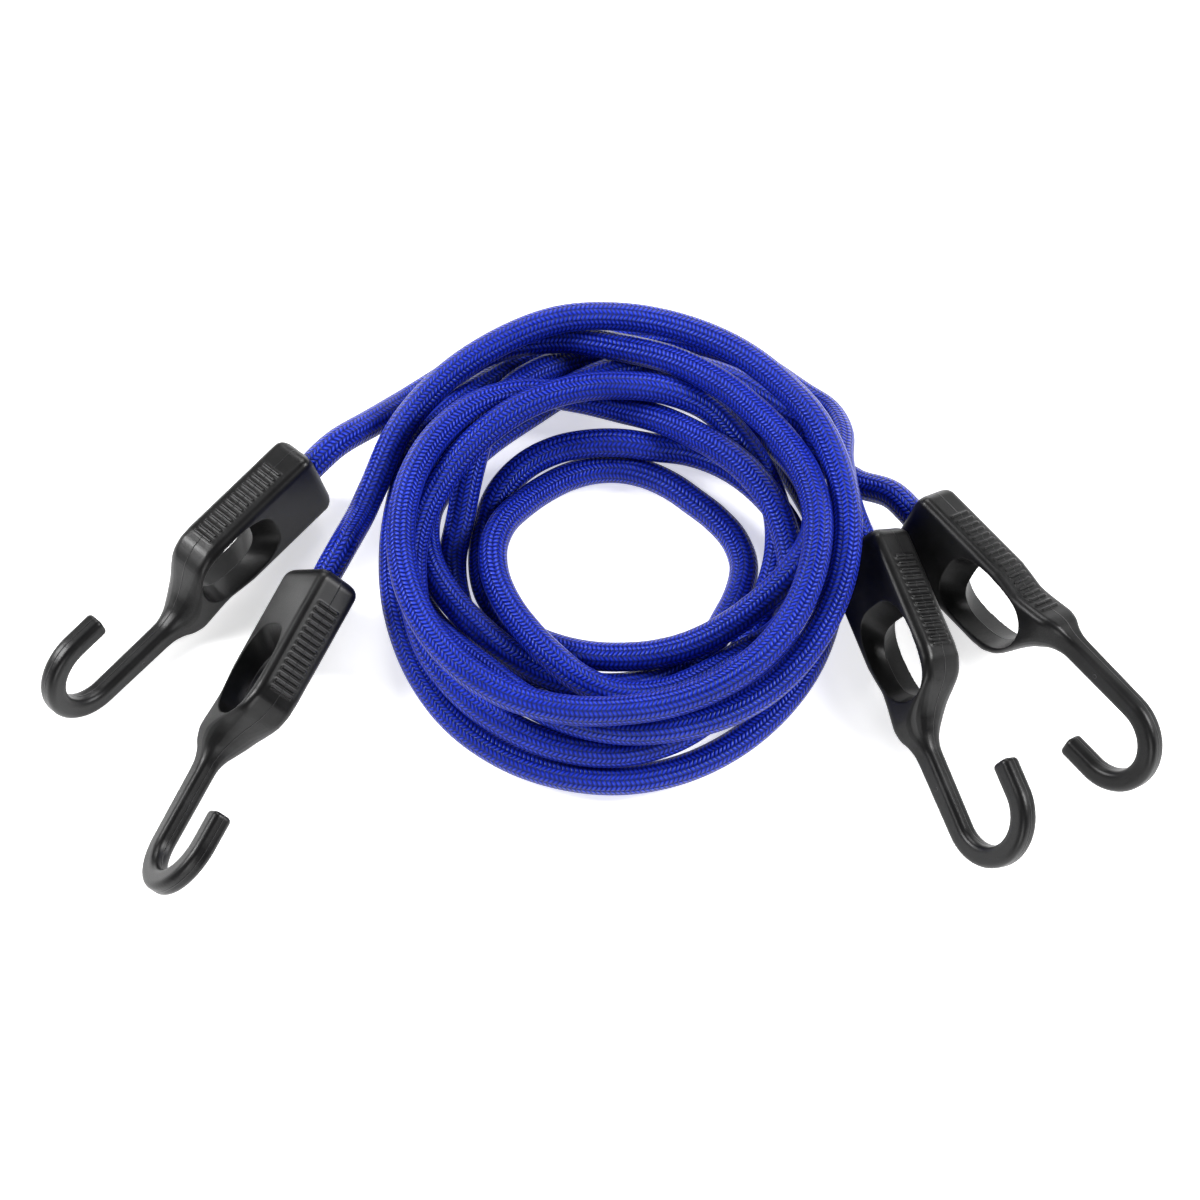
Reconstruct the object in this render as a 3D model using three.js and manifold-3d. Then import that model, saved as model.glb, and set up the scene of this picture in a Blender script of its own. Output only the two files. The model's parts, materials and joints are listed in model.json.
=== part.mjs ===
// Two bungee cords coiled together, each with a moulded grip hook at both ends.
// Millimetres, +Z up, standing on Z = 0 with the four hooks' outline centred on the origin.

import * as THREE from 'three';
import { mergeVertices } from 'three/addons/utils/BufferGeometryUtils.js';
import Module from 'manifold-3d';

const wasm = await Module();
wasm.setup();

// Shared sizes
const clearance = 0.3;
const overrun = 1;
const cordDiameter = 10;

// Grip: the block that the fingers hold, with X from the cord's mouth towards the bend
const gripLength = 83;
const gripDepth = 31.6;
const gripThickness = 17.6;
const gripEndRounding = 4.6;
const gripEdgeRounding = 3;

// Shank, bend and tip
const shankDepth = 8;
const shankThickness = 7.6;
const shankOffset = 10.5;
const shankLength = 27.3;
const shankEdgeRounding = 2.4;
const bendRadius = 16.1;
const tipLength = 12.3;
const tipRounding = 1.6;

// Finger hole: its rim on the faces and its ridge half way through
const rimStart = 0.299 * gripLength;
const rimLength = 0.452 * gripLength;
const rimWidth = 0.7785 * gripDepth;
const ridgeStart = 0.3795 * gripLength;
const ridgeLength = 0.3434 * gripLength;
const ridgeWidth = 0.7468 * gripDepth;

// Raised bars across the two narrow faces
const barWidth = 1.3;
const barLength = 9.2;
const barHeight = 0.5;
const barRoot = 1.2;
const frontBarStart = 0.1566 * gripLength;
const frontBarPitch = 0.0328 * gripLength;
const frontBarCount = 14;
const backBarStart = 0.1759 * gripLength;
const backBarPitch = 0.0346 * gripLength;
const backBarCount = 18;

// Socket inside the grip, and the crimped end of the cord that it holds
const mouthClearance = 0.3;
const mouthLength = 5;
const ringWall = 1.3;
const ringLength = 9;
const ringClearance = 0.4;
const crimpNeck = 9.2;
const cordEndFlare = 10.8;
const cordEndProud = 3;
const cordEndReach = 3;
const coreDiameter = 6.4;
const coreLength = 3;
const roundSides = 24;

// Tubes of the cord
const coilStepsPerTurn = 24;
const coilSides = 6;
const tailSides = 10;
const tailStep = cordDiameter;
const fewestTailSteps = 6;

// Where the middles of the hooks' mouths lie over the ground, and the middle of the coil
const upperLeftX = -107.5;
const upperLeftY = 43.6;
const upperRightX = 116.2;
const upperRightY = 25.5;
const lowerLeftX = -100;
const lowerLeftY = -2;
const lowerRightX = 96.6;
const lowerRightY = 11.7;
const coilX = 8;
const coilY = 11;

const plastic = { color: 0x1d1e20, roughness: 0.55, metalness: 0 };
const braid = { color: 0x1b2fa0, roughness: 0.9, metalness: 0 };
const steel = { color: 0xb4b8bd, roughness: 0.35, metalness: 0.9 };
const latex = { color: 0xd8c9a4, roughness: 0.8, metalness: 0 };

// Closed meshes and solids

function meshOf(name, geometry, look) {
  const mesh = new THREE.Mesh(geometry, new THREE.MeshStandardMaterial(look));
  mesh.name = name;
  return mesh;
}

function solidOf(geometry) {
  const bare = geometry.clone();
  bare.deleteAttribute('normal');
  bare.deleteAttribute('uv');
  const merged = mergeVertices(bare);
  const vertProperties = new Float32Array(merged.attributes.position.array);
  const triVerts = new Uint32Array(merged.index.array);
  return new wasm.Manifold(new wasm.Mesh({ numProp: 3, vertProperties, triVerts }));
}

function geometryOf(solid) {
  const mesh = solid.getMesh();
  const geometry = new THREE.BufferGeometry();
  geometry.setAttribute('position', new THREE.BufferAttribute(mesh.vertProperties, 3));
  geometry.setIndex(new THREE.BufferAttribute(mesh.triVerts, 1));
  return geometry;
}

// Closes a list of equal rings of points, each anticlockwise seen from the far end, into one skin.
function skinOf(rings) {
  const sides = rings[0].length;
  const indices = [];
  for (let ring = 0; ring < rings.length - 1; ring += 1) {
    for (let side = 0; side < sides; side += 1) {
      const here = ring * sides + side;
      const beside = ring * sides + (side + 1) % sides;
      indices.push(here, beside, here + sides);
      indices.push(beside, beside + sides, here + sides);
    }
  }
  const last = (rings.length - 1) * sides;
  for (let side = 1; side < sides - 1; side += 1) {
    indices.push(0, side + 1, side);
    indices.push(last, last + side, last + side + 1);
  }
  const geometry = new THREE.BufferGeometry();
  geometry.setFromPoints(rings.flat());
  geometry.setIndex(indices);
  return geometry;
}

// A round body about X from a profile of [along, radius] points that starts and ends on the axis.
function roundBody(profile) {
  const points = profile.map(([along, radius]) => new THREE.Vector2(radius, along));
  return new THREE.LatheGeometry(points, roundSides).rotateZ(-Math.PI / 2);
}

// Hook

// One rounded rectangle across the hook, in the plane through a centre point.
// "side" points from the back edge to the front edge, and the front corners have a size of their own.
function hookSection(centre, side, halfDepth, halfThickness, backCorner, frontCorner, frontCornerThickness) {
  const ring = [];
  const corners = [
    { front: 1, face: -1, run: frontCorner, rise: frontCornerThickness },
    { front: 1, face: 1, run: frontCorner, rise: frontCornerThickness },
    { front: -1, face: 1, run: backCorner, rise: backCorner },
    { front: -1, face: -1, run: backCorner, rise: backCorner },
  ];
  corners.forEach(({ front, face, run, rise }) => {
    const turns = front * face > 0 ? [0, 0.5, 1] : [1, 0.5, 0];
    turns.forEach((turn) => {
      const across = front * (halfDepth - run + run * Math.cos(turn * Math.PI / 2));
      const up = face * (halfThickness - rise + rise * Math.sin(turn * Math.PI / 2));
      ring.push(new THREE.Vector3(centre.x + side.x * across, centre.y + side.y * across, up));
    });
  });
  return ring;
}

// The grip from its shoulders to the shank. Each row: along (share of the grip's length), back edge and
// front edge (shares of half its depth), half thickness and front corner (shares of half its thickness).
const gripStationShares = [
  [0.51, -1, 1, 1, 0.36],
  [0.58, -0.94, 1, 1, 0.36],
  [0.61, -0.91, 0.98, 1, 0.36],
  [0.64, -0.885, 0.95, 1, 0.34],
  [0.67, -0.89, 0.87, 1, 0.32],
  [0.7, -0.905, 0.77, 1, 0.34],
  [0.725, -0.925, 0.65, 1, 0.44],
  [0.75, -0.945, 0.47, 1, 0.56],
  [0.785, -0.975, 0.21, 1, 0.74],
  [0.82, -1.01, -0.01, 0.97, 0.78],
  [0.85, -1.02, -0.14, 0.87, 0.74],
  [0.875, -1.01, -0.25, 0.77, 0.64],
  [0.905, -0.96, -0.33, 0.62, 0.5],
  [0.95, -0.925, -0.4, 0.48, 0.34],
];

function gripRings() {
  const halfDepth = gripDepth / 2;
  const halfThickness = gripThickness / 2;
  const side = new THREE.Vector2(0, 1);
  const rings = [];
  const endSteps = 3;
  for (let step = 0; step <= endSteps; step += 1) {
    const turn = (step / endSteps) * Math.PI / 2;
    const along = gripEndRounding * (1 - Math.cos(turn));
    const depth = halfDepth - gripEndRounding * (1 - Math.sin(turn));
    const thickness = halfThickness - gripEdgeRounding * (1 - Math.sin(turn));
    const centre = new THREE.Vector2(along, 0);
    const corner = gripEdgeRounding;
    rings.push(hookSection(centre, side, depth, thickness, corner, corner, corner));
  }
  gripStationShares.forEach(([along, back, front, thickness, corner]) => {
    const centre = new THREE.Vector2(along * gripLength, (back + front) / 2 * halfDepth);
    const depth = (front - back) / 2 * halfDepth;
    const thick = thickness * halfThickness;
    const run = corner * halfThickness;
    const backCorner = gripEdgeRounding * thickness;
    rings.push(hookSection(centre, side, depth, thick, backCorner, run, Math.min(run, thick)));
  });
  return rings;
}

// The shank, the bend round to the front, and the tip that points back at the grip.
function shankRings() {
  const rings = [];
  const corner = shankEdgeRounding;
  const add = (x, y, turn, inset) => {
    const side = new THREE.Vector2(-Math.sin(turn), Math.cos(turn));
    const depth = shankDepth / 2 - inset;
    const thickness = shankThickness / 2 - inset;
    rings.push(hookSection(new THREE.Vector2(x, y), side, depth, thickness, corner, corner, corner));
  };
  const bendStart = gripLength + shankLength;
  add(gripLength, -shankOffset, 0, 0);
  const bendSteps = 12;
  for (let step = 0; step <= bendSteps; step += 1) {
    const turn = (step / bendSteps) * Math.PI;
    const x = bendStart + bendRadius * Math.sin(turn);
    const y = -shankOffset + bendRadius * (1 - Math.cos(turn));
    add(x, y, turn, 0);
  }
  const tipSide = -shankOffset + 2 * bendRadius;
  add(bendStart - tipLength + tipRounding, tipSide, Math.PI, 0);
  add(bendStart - tipLength, tipSide, Math.PI, tipRounding);
  return rings;
}

// Half of the finger hole's outline, as shares of its length and of half its width.
const holeOutlineShares = [
  [0, 0.2],
  [0.02, 0.48],
  [0.08, 0.73],
  [0.21, 0.93],
  [0.36, 1],
  [0.54, 0.99],
  [0.68, 0.94],
  [0.81, 0.84],
  [0.91, 0.64],
  [0.98, 0.33],
];

function fingerHole() {
  const halfThickness = gripThickness / 2;
  const outlineAt = (height) => {
    const share = Math.abs(height) / halfThickness;
    const start = THREE.MathUtils.lerp(ridgeStart, rimStart, share);
    const length = THREE.MathUtils.lerp(ridgeLength, rimLength, share);
    const halfWidth = THREE.MathUtils.lerp(ridgeWidth, rimWidth, share) / 2;
    const place = (side) => ([along, out]) => (
      new THREE.Vector3(start + along * length, side * out * halfWidth, height)
    );
    return [...holeOutlineShares.map(place(-1)), ...[...holeOutlineShares].reverse().map(place(1))];
  };
  const outside = halfThickness + overrun;
  return solidOf(skinOf([outlineAt(-outside), outlineAt(0), outlineAt(outside)]));
}

// Where a narrow face lies at a place along the grip: side -1 is the back, 1 the front.
function narrowFaceAt(along, side) {
  const column = side < 0 ? 1 : 2;
  const share = along / gripLength;
  const next = gripStationShares.findIndex((row) => row[0] >= share);
  if (next <= 0) return side * gripDepth / 2;
  const low = gripStationShares[next - 1];
  const high = gripStationShares[next];
  const between = (share - low[0]) / (high[0] - low[0]);
  return THREE.MathUtils.lerp(low[column], high[column], between) * gripDepth / 2;
}

// A raised bar with rounded ends across a narrow face.
function bar(along, side) {
  const halfWidth = barWidth / 2;
  const straight = barLength / 2 - halfWidth;
  const outline = [];
  [1, -1].forEach((end) => {
    [0, 1 / 3, 2 / 3, 1].forEach((turn) => {
      const angle = turn * Math.PI;
      outline.push([end * halfWidth * Math.cos(angle), end * (straight + halfWidth * Math.sin(angle))]);
    });
  });
  const face = narrowFaceAt(along, side);
  const ringAt = (y) => outline.map(([x, z]) => new THREE.Vector3(along + x, y, z));
  const inside = ringAt(face - side * barRoot);
  const outside = ringAt(face + side * barHeight);
  return solidOf(skinOf(side < 0 ? [inside, outside] : [outside, inside]));
}

// The blind socket: a mouth that fits the cord, and a chamber that fits its crimped ring.
const mouthRadius = cordDiameter / 2 + mouthClearance;
const ringRadius = crimpNeck / 2 + clearance + ringWall;
const ringStart = mouthLength + clearance;
const cordEndAt = ringStart + ringLength + cordEndProud;
const coreEnd = cordEndAt + clearance + coreLength;

function socket() {
  return solidOf(roundBody([
    [-overrun, 0],
    [-overrun, mouthRadius],
    [mouthLength, mouthRadius],
    [mouthLength, ringRadius + ringClearance],
    [coreEnd + clearance, ringRadius + ringClearance],
    [coreEnd + clearance, 0],
  ]));
}

function hookSolid() {
  let hook = solidOf(skinOf([...gripRings(), ...shankRings()]));
  for (let index = 0; index < frontBarCount; index += 1) {
    hook = hook.add(bar(frontBarStart + index * frontBarPitch, 1));
  }
  for (let index = 0; index < backBarCount; index += 1) {
    hook = hook.add(bar(backBarStart + index * backBarPitch, -1));
  }
  return hook.subtract(fingerHole()).subtract(socket());
}

// Crimped ring, the end of the cord inside it, and the core that shows at the cut

function ringGeometry() {
  const bore = crimpNeck / 2 + clearance;
  const end = ringStart + ringLength;
  return roundBody([
    [ringStart, bore],
    [ringStart, ringRadius],
    [end, ringRadius],
    [end, bore],
    [ringStart, bore],
  ]);
}

function cordEndGeometry() {
  const radius = cordDiameter / 2;
  const neck = crimpNeck / 2;
  const flare = cordEndFlare / 2;
  const ringEnd = ringStart + ringLength;
  return roundBody([
    [-cordEndReach, 0],
    [-cordEndReach, radius],
    [mouthLength - radius / 4, radius],
    [mouthLength, neck],
    [ringEnd, neck],
    [ringEnd + cordEndProud / 3, flare],
    [cordEndAt, flare],
    [cordEndAt, 0],
  ]);
}

function coreGeometry() {
  const start = cordEndAt + clearance;
  return roundBody([[start, 0], [start, coreDiameter / 2], [coreEnd, coreDiameter / 2], [coreEnd, 0]]);
}

// The way that each hook points, in degrees, and its roll about the cord. Each hook leans on the ground
// with its grip and its bend.
const hookPlaces = [
  { x: upperLeftX, y: upperLeftY, heading: -133, roll: 102.8 },
  { x: upperRightX, y: upperRightY, heading: -51.5, roll: 240 },
  { x: lowerLeftX, y: lowerLeftY, heading: -116.7, roll: 50.6 },
  { x: lowerRightX, y: lowerRightY, heading: -69.8, roll: 57.1 },
];
const steepestPitch = 20;

function hookTurn({ heading, roll }, pitch) {
  const radians = THREE.MathUtils.degToRad;
  const order = new THREE.Matrix4().makeRotationZ(radians(heading));
  order.multiply(new THREE.Matrix4().makeRotationY(-radians(pitch)));
  return order.multiply(new THREE.Matrix4().makeRotationX(radians(roll)));
}

// The pitch and height at which the grip and the bend both touch the ground.
function restOnGround(points, place) {
  const lowest = (turn, near) => Math.min(...points
    .filter((point) => (point.x < gripLength) === near)
    .map((point) => point.clone().applyMatrix4(turn).z));
  let low = -steepestPitch;
  let high = steepestPitch;
  const halvings = 24;
  for (let step = 0; step < halvings; step += 1) {
    const pitch = (low + high) / 2;
    const turn = hookTurn(place, pitch);
    if (lowest(turn, false) < lowest(turn, true)) low = pitch;
    else high = pitch;
  }
  const turn = hookTurn(place, high);
  return { turn, height: -Math.min(lowest(turn, true), lowest(turn, false)) };
}

// Coil

const coilCentre = new THREE.Vector2(coilX, coilY);

// One cord's turns, by hand from the photograph. Each stop: the direction from the coil's centre in
// degrees, counted on through the turns, the reach from the centre and the height of the cord's middle.
const firstCordStops = [
  [45, 98.5, 8], [60, 99, 5.5], [90, 97, 5], [135, 90, 10], [180, 79, 16.5], [225, 79, 6],
  [270, 76, 5], [315, 70.5, 5], [345, 68.5, 5], [360, 68, 5], [390, 68, 5], [405, 72.5, 5], [430, 84, 5],
  [450, 87, 7], [495, 80, 16], [540, 77, 5], [585, 69.5, 5], [630, 68.5, 5], [675, 67.5, 5],
  [720, 67.5, 15], [765, 66, 19], [810, 61.5, 23], [855, 59.5, 30], [900, 66.5, 21], [945, 66, 15],
  [990, 67.5, 16], [1035, 62, 25], [1080, 61, 27], [1125, 63, 19], [1170, 65, 10], [1215, 75, 26],
  [1260, 79, 28], [1305, 77.5, 26], [1350, 68.5, 21], [1395, 68.5, 29], [1440, 66, 35],
  [1485, 63, 26], [1530, 74, 17], [1560, 93, 13], [1575, 101.5, 12],
];
const secondCordStops = [
  [45, 85, 16], [90, 80.5, 16], [135, 69.5, 8], [180, 65, 6], [225, 59, 5], [270, 57, 5],
  [315, 58, 5], [360, 60, 5], [405, 53, 5], [450, 56.5, 5], [495, 58, 9], [540, 61.5, 17],
  [585, 59.5, 16], [630, 65, 16], [675, 60.5, 16], [720, 66.5, 7], [765, 60.5, 11], [810, 53.5, 17],
  [855, 59.5, 14], [900, 63.5, 5], [945, 57, 5], [990, 51.5, 5], [1035, 55, 7], [1080, 69, 17],
  [1125, 66, 8], [1170, 76, 5], [1215, 80, 5], [1260, 79.5, 7], [1305, 71, 19], [1350, 70.5, 17],
  [1395, 73.5, 18], [1425, 75.5, 28], [1440, 75.5, 33], [1455, 75, 35], [1470, 75.5, 34.5],
  [1485, 77, 30], [1530, 83.5, 24], [1575, 91, 22], [1605, 95.5, 19],
];

// A smooth value between the stops: column 1 is the reach, column 2 the height.
function between(stops, direction, column) {
  const last = stops.length - 1;
  const next = Math.max(1, stops.findIndex((stop) => stop[0] >= direction));
  const [before, start, end, after] = [next - 2, next - 1, next, next + 1].map((index) => (
    stops[Math.min(Math.max(index, 0), last)]
  ));
  const span = end[0] - start[0];
  const share = (direction - start[0]) / span;
  const startSlope = (end[column] - before[column]) / (end[0] - before[0]) * span;
  const endSlope = (after[column] - start[column]) / (after[0] - start[0]) * span;
  const square = share * share;
  const cube = square * share;
  return start[column] * (2 * cube - 3 * square + 1) + startSlope * (cube - 2 * square + share)
    + end[column] * (3 * square - 2 * cube) + endSlope * (cube - square);
}

function coilPoints(stops) {
  const step = 360 / coilStepsPerTurn;
  const points = [];
  for (let direction = stops[0][0]; direction <= stops.at(-1)[0]; direction += step) {
    const reach = between(stops, direction, 1);
    const height = Math.max(between(stops, direction, 2), cordDiameter / 2);
    points.push({ direction, reach, height, chosenReach: reach, chosenHeight: height });
  }
  return points;
}

function placeOf({ direction, reach, height }) {
  const angle = THREE.MathUtils.degToRad(direction);
  return new THREE.Vector3(
    coilCentre.x + reach * Math.cos(angle),
    coilCentre.y + reach * Math.sin(angle),
    height,
  );
}

// The shortest line between two straight pieces of cord: its length, its shares along both and itself.
function nearest(startA, endA, startB, endB) {
  const alongA = endA.clone().sub(startA);
  const alongB = endB.clone().sub(startB);
  const apart = startA.clone().sub(startB);
  const lengthA = alongA.dot(alongA);
  const lengthB = alongB.dot(alongB);
  const both = alongA.dot(alongB);
  const apartA = alongA.dot(apart);
  const apartB = alongB.dot(apart);
  const scale = lengthA * lengthB - both * both;
  let shareA = scale > 0 ? THREE.MathUtils.clamp((both * apartB - lengthB * apartA) / scale, 0, 1) : 0.5;
  const shareB = THREE.MathUtils.clamp((both * shareA + apartB) / lengthB, 0, 1);
  shareA = THREE.MathUtils.clamp((both * shareB - apartA) / lengthA, 0, 1);
  const line = apart.addScaledVector(alongA, shareA).addScaledVector(alongB, -shareB);
  return { length: line.length(), shareA, shareB, line };
}

// Every pair of straight pieces that pass the same direction from the coil's centre.
function neighbours(cords) {
  const step = 360 / coilStepsPerTurn;
  const pieces = cords.flatMap((points, cord) => points.slice(1).map((end, index) => (
    { cord, index, start: points[index], end }
  )));
  const pairs = [];
  pieces.forEach((first, place) => pieces.slice(place + 1).forEach((second) => {
    const turned = THREE.MathUtils.euclideanModulo(first.start.direction - second.start.direction, 360);
    const near = Math.min(turned, 360 - turned) <= step;
    const joined = first.cord === second.cord && second.index - first.index < coilStepsPerTurn / 2;
    if (near && !joined) pairs.push([first, second]);
  }));
  return pairs;
}

// Lets the cords settle against each other: pieces that are too close push apart, up or sideways.
const coilSpacing = 1.09 * cordDiameter;
const settleRounds = 900;
const evenedShare = 0.7;
const evening = 0.05;
const pushedShare = 1 / 3;

function settle(cords) {
  const pairs = neighbours(cords);
  const points = cords.flat();
  for (let round = 0; round < settleRounds; round += 1) {
    points.forEach((point) => {
      point.place = placeOf(point);
      point.outward = 0;
      point.upward = 0;
    });
    pairs.forEach(([first, second]) => {
      const { length, shareA, shareB, line } = nearest(
        first.start.place,
        first.end.place,
        second.start.place,
        second.end.place,
      );
      if (length >= coilSpacing) return;
      const angle = THREE.MathUtils.degToRad(first.start.direction);
      const outward = line.x * Math.cos(angle) + line.y * Math.sin(angle);
      const push = (coilSpacing - length) * pushedShare / (Math.hypot(outward, line.z) || 1);
      const move = (point, share) => {
        point.outward += push * share * outward;
        point.upward += push * share * line.z;
      };
      move(first.start, 1 - shareA);
      move(first.end, shareA);
      move(second.start, shareB - 1);
      move(second.end, -shareB);
    });
    const pull = round < settleRounds * evenedShare ? evening : 0;
    cords.forEach((cord) => cord.slice(1, -1).forEach((point, index) => {
      const drift = (place) => cord[place].height - cord[place].chosenHeight;
      const slip = (place) => cord[place].reach - cord[place].chosenReach;
      const evenUp = drift(index) + drift(index + 2) - 2 * drift(index + 1);
      const evenOut = slip(index) + slip(index + 2) - 2 * slip(index + 1);
      point.reach += point.outward + pull * evenOut;
      point.height = Math.max(point.height + point.upward + pull * evenUp, cordDiameter / 2);
    }));
  }
}

function leastGap(lines) {
  let least = Infinity;
  lines.forEach((first, place) => lines.slice(place).forEach((second, offset) => {
    for (let here = 1; here < first.length; here += 1) {
      for (let there = offset ? 1 : here + 3; there < second.length; there += 1) {
        const { length } = nearest(first[here - 1], first[here], second[there - 1], second[there]);
        least = Math.min(least, length - cordDiameter);
      }
    }
  }));
  return least;
}

// A many-sided tube through points, with a flat side down.
function tubeAlong(points, sides) {
  const rings = points.map((point, index) => {
    const before = points[Math.max(index - 1, 0)];
    const after = points[Math.min(index + 1, points.length - 1)];
    const along = after.clone().sub(before).normalize();
    const across = new THREE.Vector3(-along.y, along.x, 0).normalize();
    const up = along.clone().cross(across);
    return Array.from({ length: sides }, (_, side) => {
      const angle = (side / sides) * 2 * Math.PI;
      return point.clone()
        .addScaledVector(across, Math.cos(angle) * cordDiameter / 2)
        .addScaledVector(up, Math.sin(angle) * cordDiameter / 2);
    });
  });
  return skinOf(rings);
}

// Tails: from a coil's end to a hook's mouth, through points chosen by hand

const tailRoutes = [
  [[-84.5, 66.5, 15.5]],
  [[81.5, 56.5, 9.5], [88.5, 49.5, 9], [96, 43, 10.5]],
  [[-92, 16, 21]],
  [[89.5, 61.5, 15.5], [88.8, 48, 21], [89.8, 35, 23.4]],
];

function tailCurve(coilEnd, coilWay, mouth, hookWay, route) {
  const straight = cordDiameter;
  const start = coilEnd.clone().addScaledVector(coilWay, clearance);
  const finish = mouth.clone().addScaledVector(hookWay, -cordEndReach - clearance);
  const points = [
    start,
    start.clone().addScaledVector(coilWay, straight),
    ...route.map((point) => new THREE.Vector3(...point)),
    finish.clone().addScaledVector(hookWay, -straight),
    finish,
  ];
  return new THREE.CatmullRomCurve3(points, false, 'centripetal');
}

function tailGeometry(curve) {
  const outline = Array.from({ length: tailSides }, (_, side) => {
    const angle = (side / tailSides) * 2 * Math.PI;
    return new THREE.Vector2(Math.cos(angle), Math.sin(angle)).multiplyScalar(cordDiameter / 2);
  });
  const steps = Math.max(fewestTailSteps, Math.round(curve.getLength() / tailStep));
  return new THREE.ExtrudeGeometry(new THREE.Shape(outline), {
    steps,
    extrudePath: curve,
    bevelEnabled: false,
  });
}

// The whole part

const part = new THREE.Group();

const hookShape = geometryOf(hookSolid());
const hookPoints = [];
for (let index = 0; index < hookShape.attributes.position.count; index += 1) {
  hookPoints.push(new THREE.Vector3().fromBufferAttribute(hookShape.attributes.position, index));
}

const hooks = hookPlaces.map((place, index) => {
  const number = index + 1;
  const { turn, height } = restOnGround(hookPoints, place);
  const matrix = new THREE.Matrix4().makeTranslation(place.x, place.y, height).multiply(turn);
  const group = new THREE.Group();
  group.applyMatrix4(matrix);
  group.add(meshOf(`hook_${number}`, hookShape.clone(), plastic));
  group.add(meshOf(`ferrule_${number}`, ringGeometry(), steel));
  group.add(meshOf(`cord_end_${number}`, cordEndGeometry(), braid));
  group.add(meshOf(`core_${number}`, coreGeometry(), latex));
  part.add(group);
  const way = new THREE.Vector3(1, 0, 0).transformDirection(matrix);
  return { mouth: new THREE.Vector3(place.x, place.y, height), way };
});

const cords = [coilPoints(firstCordStops), coilPoints(secondCordStops)];
settle(cords);
const coilLines = cords.map((points) => points.map(placeOf));
console.log(`least gap between the coil's turns: ${leastGap(coilLines).toFixed(2)} mm`);
part.add(meshOf('coil_a', tubeAlong(coilLines[0], coilSides), braid));
part.add(meshOf('coil_b', tubeAlong(coilLines[1], coilSides), braid));

// Which end of which coil each tail leaves from.
const tailEnds = [
  { line: coilLines[0], last: true },
  { line: coilLines[1], last: false },
  { line: coilLines[1], last: true },
  { line: coilLines[0], last: false },
];
tailEnds.forEach(({ line, last }, index) => {
  const [end, inner] = last ? [line.at(-1), line.at(-2)] : [line[0], line[1]];
  const way = end.clone().sub(inner).normalize();
  const { mouth, way: hookWay } = hooks[index];
  const curve = tailCurve(end, way, mouth, hookWay, tailRoutes[index]);
  console.log(`tail ${index + 1}: ${curve.getLength().toFixed(1)} mm`);
  part.add(meshOf(`tail_${index + 1}`, tailGeometry(curve), braid));
});

// The middle of the four hooks' outline is the origin.
const outline = new THREE.Box3();
part.updateMatrixWorld(true);
part.traverse((piece) => {
  if (piece.name.startsWith('hook_')) outline.expandByObject(piece, true);
});
const middle = outline.getCenter(new THREE.Vector3());
part.position.set(-middle.x, -middle.y, 0);

export default part;
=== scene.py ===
"""Two blue bungee cords coiled together, with a black moulded grip hook at each of their four ends."""
import json
import math
from contextlib import contextmanager

import bmesh
import bpy
import numpy as np
from mathutils import Matrix, Vector


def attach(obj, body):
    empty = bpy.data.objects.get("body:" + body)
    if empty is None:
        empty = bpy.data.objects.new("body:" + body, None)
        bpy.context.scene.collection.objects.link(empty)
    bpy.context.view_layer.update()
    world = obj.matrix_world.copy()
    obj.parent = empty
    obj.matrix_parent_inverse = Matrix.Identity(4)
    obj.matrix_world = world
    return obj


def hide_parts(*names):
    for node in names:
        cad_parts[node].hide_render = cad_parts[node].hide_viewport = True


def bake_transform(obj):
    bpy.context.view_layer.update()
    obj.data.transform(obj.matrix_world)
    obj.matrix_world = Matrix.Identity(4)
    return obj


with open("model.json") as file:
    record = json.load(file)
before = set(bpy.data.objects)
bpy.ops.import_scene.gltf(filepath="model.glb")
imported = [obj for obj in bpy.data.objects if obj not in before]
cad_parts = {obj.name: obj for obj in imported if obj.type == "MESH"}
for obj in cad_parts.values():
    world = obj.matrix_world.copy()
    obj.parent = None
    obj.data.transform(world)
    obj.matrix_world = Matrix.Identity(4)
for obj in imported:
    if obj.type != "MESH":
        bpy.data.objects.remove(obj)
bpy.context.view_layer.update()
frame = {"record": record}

# Lengths are in millimetres unless a heading says otherwise, and MM turns them into metres.
MM = 0.001

# Cord: the diameter of the CAD tube, and that of the braid where it is free and where a mouth holds it
CORD_DIAMETER = 10
BRAID_DIAMETER = 10.7
HELD_DIAMETER = 10.4
RING_STEP = 1.6
RING_SIDES = 40
SHORTEST_TAIL = 66

# Braid: the length of a stitch, the legs round the cord, the slant over a leg in stitches, and how
# plump a stitch is along and across (less than 1 is plumper)
BRAID_PITCH = 1.65
BRAID_LEGS = 16
BRAID_SLANT = 0.7
CROWN_POWER = 0.65
SHOULDER_POWER = 0.35

# Plastic: what the grain, the patches, the raised marks and the grooves do to its shade, and how deep
# a hollow is, in heights of the parting line. The lighter raised marks are a painted highlight and the
# darker grooves a painted shade.
GRAIN_SHADE = 0.6
PATCH_SHADE = 0.4
MARK_PAINTED_HIGHLIGHT = 0.2
GROOVE_PAINTED_SHADE = 0.4
HOLLOW_DEPTH = 2.0

# Grip
GRIP_LENGTH = 83
GRIP_DEPTH = 31.6
GRIP_THICKNESS = 17.6
GRIP_END_ROUNDING = 4.6
GRIP_EDGE_ROUNDING = 3

# Shank, bend and tip
SHANK_DEPTH = 8
SHANK_THICKNESS = 7.6
SHANK_OFFSET = 10.5
SHANK_LENGTH = 27.3
SHANK_EDGE_ROUNDING = 2.4
BEND_RADIUS = 16.1
TIP_LENGTH = 12.3
TIP_ROUNDING = 1.6

# Finger hole: its rim on the faces and its ridge half way through
RIM_START = 24.8
RIM_LENGTH = 37.5
RIM_WIDTH = 24.6
RIDGE_START = 31.5
RIDGE_LENGTH = 28.5
RIDGE_WIDTH = 23.6

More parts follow.
